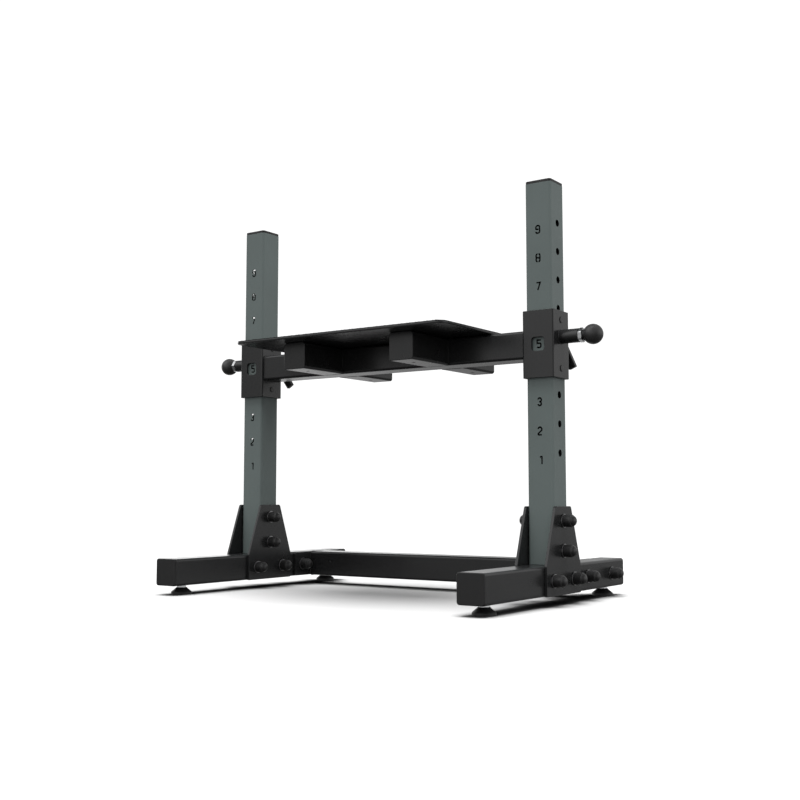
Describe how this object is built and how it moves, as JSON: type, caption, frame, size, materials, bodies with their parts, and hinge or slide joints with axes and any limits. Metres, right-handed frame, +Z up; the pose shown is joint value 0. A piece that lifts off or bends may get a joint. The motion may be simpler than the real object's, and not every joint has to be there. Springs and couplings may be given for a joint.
{
  "type": "adjustable step-up platform",
  "caption": "Step-up platform: a flat deck on a carriage that slides on two numbered uprights, held by spring pull pins and clamp levers, on a bolted base with levelling feet.",
  "frame": {"origin": "centre of the footprint on the floor, under the middle of the two base tubes", "axes": "+Z up, +X from the left upright to the right upright, -Y to the front, where the height digits read; the carriage slides along Z and the pull pins along X"},
  "size_m": [1.049, 0.616, 0.8785],
  "materials": {
    "rear_crossbar": "satin powder coat",
    "foot_tube_left": "satin powder coat",
    "foot_cap_front_left": "satin moulded",
    "foot_cap_rear_left": "satin moulded",
    "upright_left": "satin powder coat",
    "upright_cap_left": "satin moulded",
    "gusset_outer_left": "satin powder coat",
    "gusset_inner_left": "satin powder coat",
    "crossbar_flange_left": "satin powder coat",
    "upright_bolt_lower_left": "satin moulded",
    "upright_bolt_upper_left": "satin moulded",
    "gusset_bolt_front_left": "satin moulded",
    "gusset_bolt_rear_left": "satin moulded",
    "crossbar_bolt_front_left": "satin moulded",
    "crossbar_bolt_rear_left": "satin moulded",
    "foot_tube_right": "satin powder coat",
    "foot_cap_front_right": "satin moulded",
    "foot_cap_rear_right": "satin moulded",
    "upright_right": "satin powder coat",
    "upright_cap_right": "satin moulded",
    "gusset_outer_right": "satin powder coat",
    "gusset_inner_right": "satin powder coat",
    "crossbar_flange_right": "satin powder coat",
    "upright_bolt_lower_right": "satin moulded",
    "upright_bolt_upper_right": "satin moulded",
    "gusset_bolt_front_right": "satin moulded",
    "gusset_bolt_rear_right": "satin moulded",
    "crossbar_bolt_front_right": "satin moulded",
    "crossbar_bolt_rear_right": "satin moulded",
    "carriage_crossbeam": "satin powder coat",
    "deck_plate": "satin powder coat",
    "deck_grip_mat": "matt",
    "collar_left": "satin powder coat",
    "collar_liner_left": "low friction nylon",
    "pin_barrel_left": "satin powder coat",
    "pin_hex_plug_left": "zinc plated",
    "pin_spring_left": "zinc plated",
    "deck_arm_front_left": "satin powder coat",
    "deck_arm_rear_left": "satin powder coat",
    "deck_screw_front_left": "zinc plated",
    "deck_screw_rear_left": "zinc plated",
    "collar_right": "satin powder coat",
    "collar_liner_right": "low friction nylon",
    "pin_barrel_right": "satin powder coat",
    "pin_hex_plug_right": "zinc plated",
    "pin_spring_right": "zinc plated",
    "deck_arm_front_right": "satin powder coat",
    "deck_arm_rear_right": "satin powder coat",
    "deck_screw_front_right": "zinc plated",
    "deck_screw_rear_right": "zinc plated",
    "pin_plunger_left": "zinc plated",
    "ball_knob_left": "polished",
    "clamp_lever_left": "satin moulded",
    "levelling_foot_front_left": "matt",
    "levelling_foot_rear_left": "matt",
    "pin_plunger_right": "zinc plated",
    "ball_knob_right": "polished",
    "clamp_lever_right": "satin moulded",
    "levelling_foot_front_right": "matt",
    "levelling_foot_rear_right": "matt"
  },
  "bodies": {
    "base_frame": {"rear_crossbar": "rear_crossbar", "foot_tube_left": "foot_tube_left", "foot_cap_front_left": "foot_cap_front_left", "foot_cap_rear_left": "foot_cap_rear_left", "upright_left": "upright_left", "upright_cap_left": "upright_cap_left", "gusset_outer_left": "gusset_outer_left", "gusset_inner_left": "gusset_inner_left", "crossbar_flange_left": "crossbar_flange_left", "upright_bolt_lower_left": "upright_bolt_lower_left", "upright_bolt_upper_left": "upright_bolt_upper_left", "gusset_bolt_front_left": "gusset_bolt_front_left", "gusset_bolt_rear_left": "gusset_bolt_rear_left", "crossbar_bolt_front_left": "crossbar_bolt_front_left", "crossbar_bolt_rear_left": "crossbar_bolt_rear_left", "foot_tube_right": "foot_tube_right", "foot_cap_front_right": "foot_cap_front_right", "foot_cap_rear_right": "foot_cap_rear_right", "upright_right": "upright_right", "upright_cap_right": "upright_cap_right", "gusset_outer_right": "gusset_outer_right", "gusset_inner_right": "gusset_inner_right", "crossbar_flange_right": "crossbar_flange_right", "upright_bolt_lower_right": "upright_bolt_lower_right", "upright_bolt_upper_right": "upright_bolt_upper_right", "gusset_bolt_front_right": "gusset_bolt_front_right", "gusset_bolt_rear_right": "gusset_bolt_rear_right", "crossbar_bolt_front_right": "crossbar_bolt_front_right", "crossbar_bolt_rear_right": "crossbar_bolt_rear_right"},
    "carriage": {"carriage_crossbeam": "carriage_crossbeam", "deck_plate": "deck_plate", "deck_grip_mat": "deck_grip_mat", "collar_left": "collar_left", "collar_liner_left": "collar_liner_left", "pin_barrel_left": "pin_barrel_left", "pin_hex_plug_left": "pin_hex_plug_left", "pin_spring_left": "pin_spring_left", "deck_arm_front_left": "deck_arm_front_left", "deck_arm_rear_left": "deck_arm_rear_left", "deck_screw_front_left": "deck_screw_front_left", "deck_screw_rear_left": "deck_screw_rear_left", "collar_right": "collar_right", "collar_liner_right": "collar_liner_right", "pin_barrel_right": "pin_barrel_right", "pin_hex_plug_right": "pin_hex_plug_right", "pin_spring_right": "pin_spring_right", "deck_arm_front_right": "deck_arm_front_right", "deck_arm_rear_right": "deck_arm_rear_right", "deck_screw_front_right": "deck_screw_front_right", "deck_screw_rear_right": "deck_screw_rear_right"},
    "pull_pin_left": {"pin_plunger_left": "pin_plunger_left", "ball_knob_left": "ball_knob_left"},
    "clamp_lever_left": {"clamp_lever_left": "clamp_lever_left"},
    "levelling_foot_front_left": {"levelling_foot_front_left": "levelling_foot_front_left"},
    "levelling_foot_rear_left": {"levelling_foot_rear_left": "levelling_foot_rear_left"},
    "pull_pin_right": {"pin_plunger_right": "pin_plunger_right", "ball_knob_right": "ball_knob_right"},
    "clamp_lever_right": {"clamp_lever_right": "clamp_lever_right"},
    "levelling_foot_front_right": {"levelling_foot_front_right": "levelling_foot_front_right"},
    "levelling_foot_rear_right": {"levelling_foot_rear_right": "levelling_foot_rear_right"}
  },
  "joints": [
    {"name": "carriage_height", "type": "slide", "parent": "base_frame", "child": "carriage", "axis": [0, 0, 1], "range_m": [-0.24, 0.24]},
    {"name": "pull_pin_left_slide", "type": "slide", "parent": "carriage", "child": "pull_pin_left", "axis": [-1, 0, 0], "range_m": [0, 0.014], "stiffness_N_per_m": 900, "springref_m": -0.012, "deforming": ["pin_spring_left"]},
    {"name": "clamp_lever_left_turn", "type": "hinge", "parent": "carriage", "child": "clamp_lever_left", "pos_m": [-0.396, 0, 0.556], "axis": [0, 1, 0], "range_deg": [0, 180]},
    {"name": "levelling_foot_front_left_thread", "type": "hinge", "parent": "base_frame", "child": "levelling_foot_front_left", "pos_m": [-0.396, -0.2588, 0.021], "axis": [0, 0, 1], "continuous": true},
    {"name": "levelling_foot_rear_left_thread", "type": "hinge", "parent": "base_frame", "child": "levelling_foot_rear_left", "pos_m": [-0.396, 0.2588, 0.021], "axis": [0, 0, 1], "continuous": true},
    {"name": "pull_pin_right_slide", "type": "slide", "parent": "carriage", "child": "pull_pin_right", "axis": [1, 0, 0], "range_m": [0, 0.014], "stiffness_N_per_m": 900, "springref_m": -0.012, "deforming": ["pin_spring_right"]},
    {"name": "clamp_lever_right_turn", "type": "hinge", "parent": "carriage", "child": "clamp_lever_right", "pos_m": [0.396, 0, 0.556], "axis": [0, 1, 0], "range_deg": [0, 180]},
    {"name": "levelling_foot_front_right_thread", "type": "hinge", "parent": "base_frame", "child": "levelling_foot_front_right", "pos_m": [0.396, -0.2588, 0.021], "axis": [0, 0, 1], "continuous": true},
    {"name": "levelling_foot_rear_right_thread", "type": "hinge", "parent": "base_frame", "child": "levelling_foot_rear_right", "pos_m": [0.396, 0.2588, 0.021], "axis": [0, 0, 1], "continuous": true}
  ]
}
